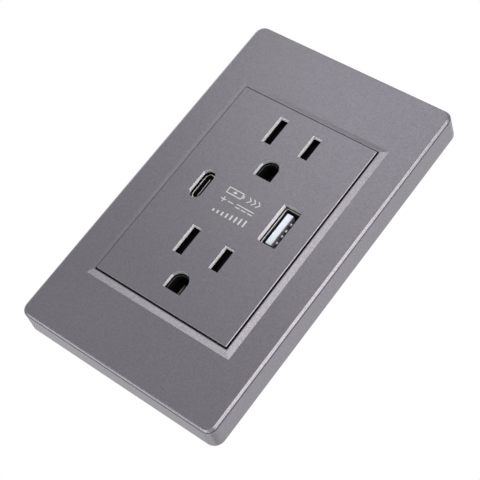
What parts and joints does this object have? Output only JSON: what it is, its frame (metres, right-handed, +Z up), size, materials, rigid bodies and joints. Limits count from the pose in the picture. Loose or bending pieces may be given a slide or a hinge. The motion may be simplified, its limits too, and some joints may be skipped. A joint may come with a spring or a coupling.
{
  "type": "usb wall socket",
  "caption": "Wall socket with a raised-bevel plate, earthed mains outlets behind sprung safety shutters, and USB-A and USB-C charging ports between them",
  "frame": {"origin": "Centre of the plate's rear rim, on the wall's plane", "axes": "+X to the right seen from the front, +Y into the wall, +Z up along the plate's long side; the front faces -Y"},
  "size_m": [0.0722, 0.036, 0.1184],
  "materials": {
    "cover_paint": "satin grey paint with fine metal flake",
    "frame_plastic": "satin grey paint with fine metal flake",
    "panel_paint": "satin grey paint with fine metal flake over pale plastic",
    "black_nylon": "moulded, dull",
    "housing_plastic": "fine spark-eroded grain",
    "shutter_plastic": "smooth, low friction",
    "spring_steel": "rolled strip",
    "contact_brass": "stamped strip",
    "screw_steel": "zinc plated",
    "board_laminate": "glass epoxy with solder mask",
    "sheet_film": "translucent film",
    "shell_nickel": "nickel plated strip",
    "tongue_white": "moulded, slight sheen",
    "tongue_black": "moulded, slight sheen",
    "contact_gold": "gold flash",
    "core_ferrite": "sintered ferrite",
    "coil_tape": "wound tape",
    "can_sleeve": "shrunk sleeve",
    "chip_epoxy": "moulded epoxy",
    "fuse_body": "ceramic tube with plated caps"
  },
  "bodies": {
    "socket": {"cover_plate": "cover_paint", "base_frame": "frame_plastic", "face_panel": "panel_paint", "contact_carrier": "black_nylon", "rear_housing": "housing_plastic", "upper_shutter_spring": "spring_steel", "lower_shutter_spring": "spring_steel", "line_contacts": "contact_brass", "neutral_contacts": "contact_brass", "ground_strap": "contact_brass", "terminal_screws": "screw_steel", "terminal_clamps": "screw_steel", "housing_screws": "screw_steel", "port_board": "board_laminate", "power_board": "board_laminate", "insulating_sheet": "sheet_film", "usb_a_shell": "shell_nickel", "usb_c_shell": "shell_nickel", "usb_a_tongue": "tongue_white", "usb_c_tongue": "tongue_black", "usb_a_contacts": "contact_gold", "usb_c_contacts": "contact_gold", "board_pins": "contact_gold", "transformer_core": "core_ferrite", "transformer_coil": "coil_tape", "input_capacitor": "can_sleeve", "output_capacitor": "can_sleeve", "bridge_rectifier": "chip_epoxy", "controller_chip": "chip_epoxy", "fuse": "fuse_body"},
    "upper_shutter": {"upper_shutter": "shutter_plastic"},
    "lower_shutter": {"lower_shutter": "shutter_plastic"}
  },
  "joints": [
    {"name": "upper_shutter_slide", "type": "slide", "parent": "socket", "child": "upper_shutter", "axis": [1, 0, 0], "range_m": [0, 0.0035], "stiffness_N_per_m": 120, "springref_m": -0.002, "deforming": ["upper_shutter_spring"]},
    {"name": "lower_shutter_slide", "type": "slide", "parent": "socket", "child": "lower_shutter", "axis": [1, 0, 0], "range_m": [0, 0.0035], "stiffness_N_per_m": 120, "springref_m": -0.002, "deforming": ["lower_shutter_spring"]}
  ]
}
